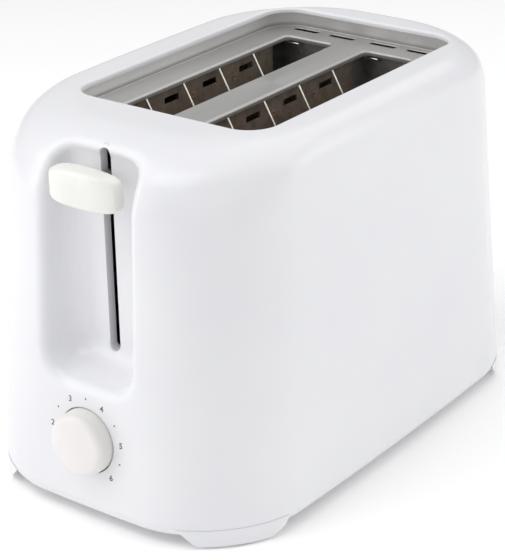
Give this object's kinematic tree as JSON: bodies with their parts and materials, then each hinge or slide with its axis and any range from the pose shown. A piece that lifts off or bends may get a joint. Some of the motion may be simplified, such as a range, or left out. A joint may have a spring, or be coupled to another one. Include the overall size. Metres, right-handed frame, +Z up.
{
  "type": "pop up toaster",
  "caption": "Two-slice pop up toaster with a rounded white shell, steel bread well, front lever in a recessed channel and a round browning dial.",
  "frame": {"origin": "on the surface the toaster stands on, under the centre of its overall box", "axes": "+Z up, +Y towards the back (lever and dial face -Y), +X to the right seen from the front"},
  "size_m": [0.1676, 0.2846, 0.18],
  "materials": {
    "shell_white": "gloss, injection moulded",
    "lever_white": "semi-gloss, slightly warm white",
    "dial_white": "semi-gloss, slightly pink white",
    "rubber_grey": "matt",
    "gland_grey": "fine spark texture",
    "well_steel": "fine brushed, satin",
    "bright_steel": "bright rolled",
    "galvanised": "dull zinc coated",
    "zinc": "zinc plated",
    "mica": "layered mica board",
    "nichrome": "oxidised ribbon",
    "guard_wire": "bright drawn wire",
    "phenolic": "moulded phenolic",
    "copper": "enamelled winding wire",
    "copper_eyelet": "pressed copper alloy",
    "contact_brass": "rolled spring brass",
    "board_green": "solder resist",
    "lead_brown": "heat resistant sleeve",
    "lead_blue": "heat resistant sleeve"
  },
  "bodies": {
    "body": {"housing": "shell_white", "base_cover": "shell_white", "foot_pads": "rubber_grey", "top_plate": "well_steel", "cord_gland": "gland_grey", "gland_nut": "gland_grey", "base_screws": "zinc", "chassis_front_plate": "galvanised", "chassis_rear_plate": "galvanised", "side_reflector_left": "bright_steel", "side_reflector_right": "bright_steel", "tray_rail_left": "galvanised", "tray_rail_right": "galvanised", "chassis_screws": "zinc", "heater_board_left_outer": "mica", "heater_board_left_inner": "mica", "heater_board_right_inner": "mica", "heater_board_right_outer": "mica", "heater_ribbon_left_outer": "nichrome", "heater_ribbon_left_inner": "nichrome", "heater_ribbon_right_inner": "nichrome", "heater_ribbon_right_outer": "nichrome", "board_eyelets": "copper_eyelet", "guard_left_outer": "guard_wire", "guard_left_inner": "guard_wire", "guard_right_inner": "guard_wire", "guard_right_outer": "guard_wire", "guide_rod": "bright_steel", "rod_bracket_top": "galvanised", "rod_bracket_bottom": "galvanised", "return_spring": "bright_steel", "magnet_core": "galvanised", "magnet_coil": "copper", "magnet_bracket": "galvanised", "contact_block": "phenolic", "contact_springs": "contact_brass", "control_board": "board_green", "board_components": "phenolic", "board_screws": "zinc", "potentiometer": "zinc", "terminal_block": "lever_white", "lead_live": "lead_brown", "lead_neutral": "lead_blue"},
    "carriage": {"carriage_block": "phenolic", "lever_arm": "galvanised", "rack_crossbar": "galvanised", "bread_rack_left": "guard_wire", "bread_rack_right": "guard_wire", "armature_plate": "bright_steel", "contact_presser": "phenolic", "lever_knob": "lever_white"},
    "dial": {"dial_shaft": "bright_steel", "dial_knob": "dial_white"},
    "tray": {"crumb_tray": "bright_steel", "tray_handle": "shell_white"}
  },
  "joints": [
    {"name": "lever_slide", "type": "slide", "parent": "body", "child": "carriage", "axis": [0, 0, -1], "range_m": [0, 0.074], "stiffness_N_per_m": 60, "springref_m": -0.1, "deforming": ["return_spring"]},
    {"name": "dial_turn", "type": "hinge", "parent": "body", "child": "dial", "pos_m": [0, -0.13, 0.0413], "axis": [0, 1, 0], "range_deg": [-135, 135]},
    {"name": "tray_slide", "type": "slide", "parent": "body", "child": "tray", "axis": [0, 1, 0], "range_m": [0, 0.15]}
  ]
}
